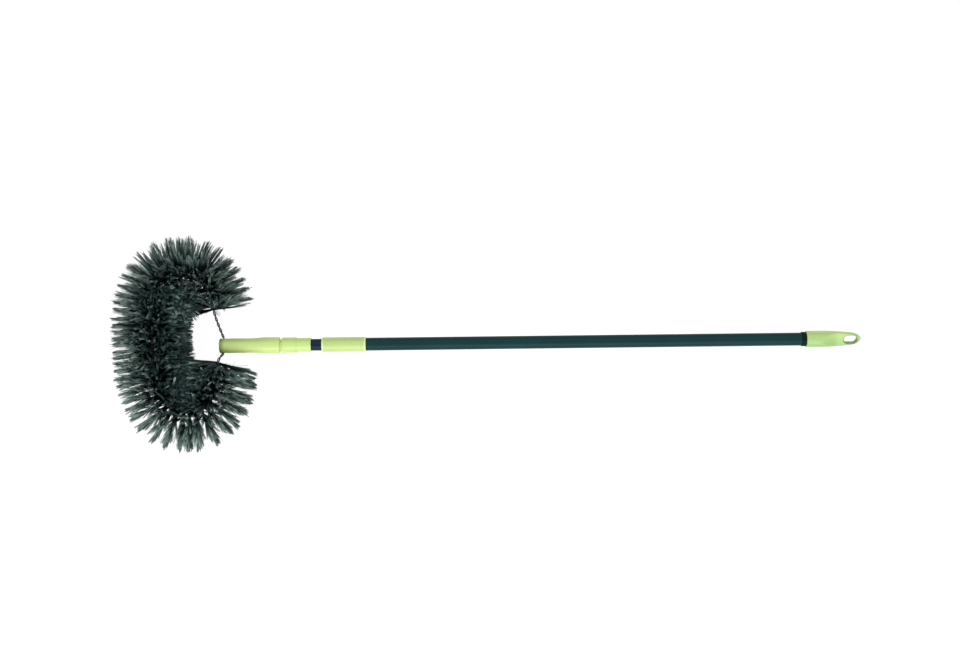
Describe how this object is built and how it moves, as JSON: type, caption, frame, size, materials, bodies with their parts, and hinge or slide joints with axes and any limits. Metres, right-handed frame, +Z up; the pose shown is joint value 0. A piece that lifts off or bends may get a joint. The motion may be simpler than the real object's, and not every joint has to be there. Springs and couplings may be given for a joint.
{
  "type": "cobweb brush",
  "caption": "Telescopic cobweb brush: an open loop of twisted wire filled with stiff radial bristles, on a screw-on socket and a twist-lock steel pole with a hanging eye.",
  "frame": {"origin": "middle of the hanging eye, on the pole's axis", "axes": "+X along the pole from the brush to the hanging eye, +Y across the pole in the plane of the brush loop, +Z up, square to the loop's plane"},
  "size_m": [1.2726, 0.3646, 0.1384],
  "materials": {
    "tube_coat": "satin dark green-grey coating on steel",
    "inner_coat": "satin blue-black coating on steel",
    "lime_plastic": "pale lime polypropylene",
    "socket_plastic": "pale lime polypropylene",
    "cap_plastic": "pale green polypropylene",
    "black_plastic": "black trim plastic",
    "lock_plastic": "natural nylon",
    "lock_ring_plastic": "dark grey nylon",
    "crimp_steel": "zinc plated steel",
    "wire_steel": "galvanised steel wire",
    "bristle_fibre": "stiff black-green polypropylene monofilament"
  },
  "bodies": {
    "handle": {"outer_tube": "tube_coat", "mouth_collar": "lime_plastic", "tube_end_ring": "black_plastic", "end_cap": "cap_plastic"},
    "lock_ring": {"lock_ring": "lock_ring_plastic"},
    "inner_pole": {"inner_tube": "inner_coat", "lock_plug": "lock_plastic", "thread_adaptor": "lime_plastic"},
    "brush_head": {"brush_socket": "socket_plastic", "wire_crimp": "crimp_steel", "wire_strand_a": "wire_steel", "wire_strand_b": "wire_steel", "bristles_1": "bristle_fibre", "bristles_2": "bristle_fibre", "bristles_3": "bristle_fibre", "bristles_4": "bristle_fibre", "bristles_5": "bristle_fibre", "bristles_6": "bristle_fibre", "bristles_7": "bristle_fibre", "bristles_8": "bristle_fibre"}
  },
  "joints": [
    {"name": "pole_slide", "type": "slide", "parent": "handle", "child": "lock_ring", "axis": [-1, 0, 0], "range_m": [0, 0.6]},
    {"name": "lock_turn", "type": "hinge", "parent": "lock_ring", "child": "inner_pole", "pos_m": [-0.139, 0, 0.0006], "axis": [1, 0, 0], "range_deg": [0, 45]},
    {"name": "brush_unscrew", "type": "slide", "parent": "inner_pole", "child": "brush_head", "axis": [-1, 0, 0], "range_m": [0, 0.04]}
  ]
}
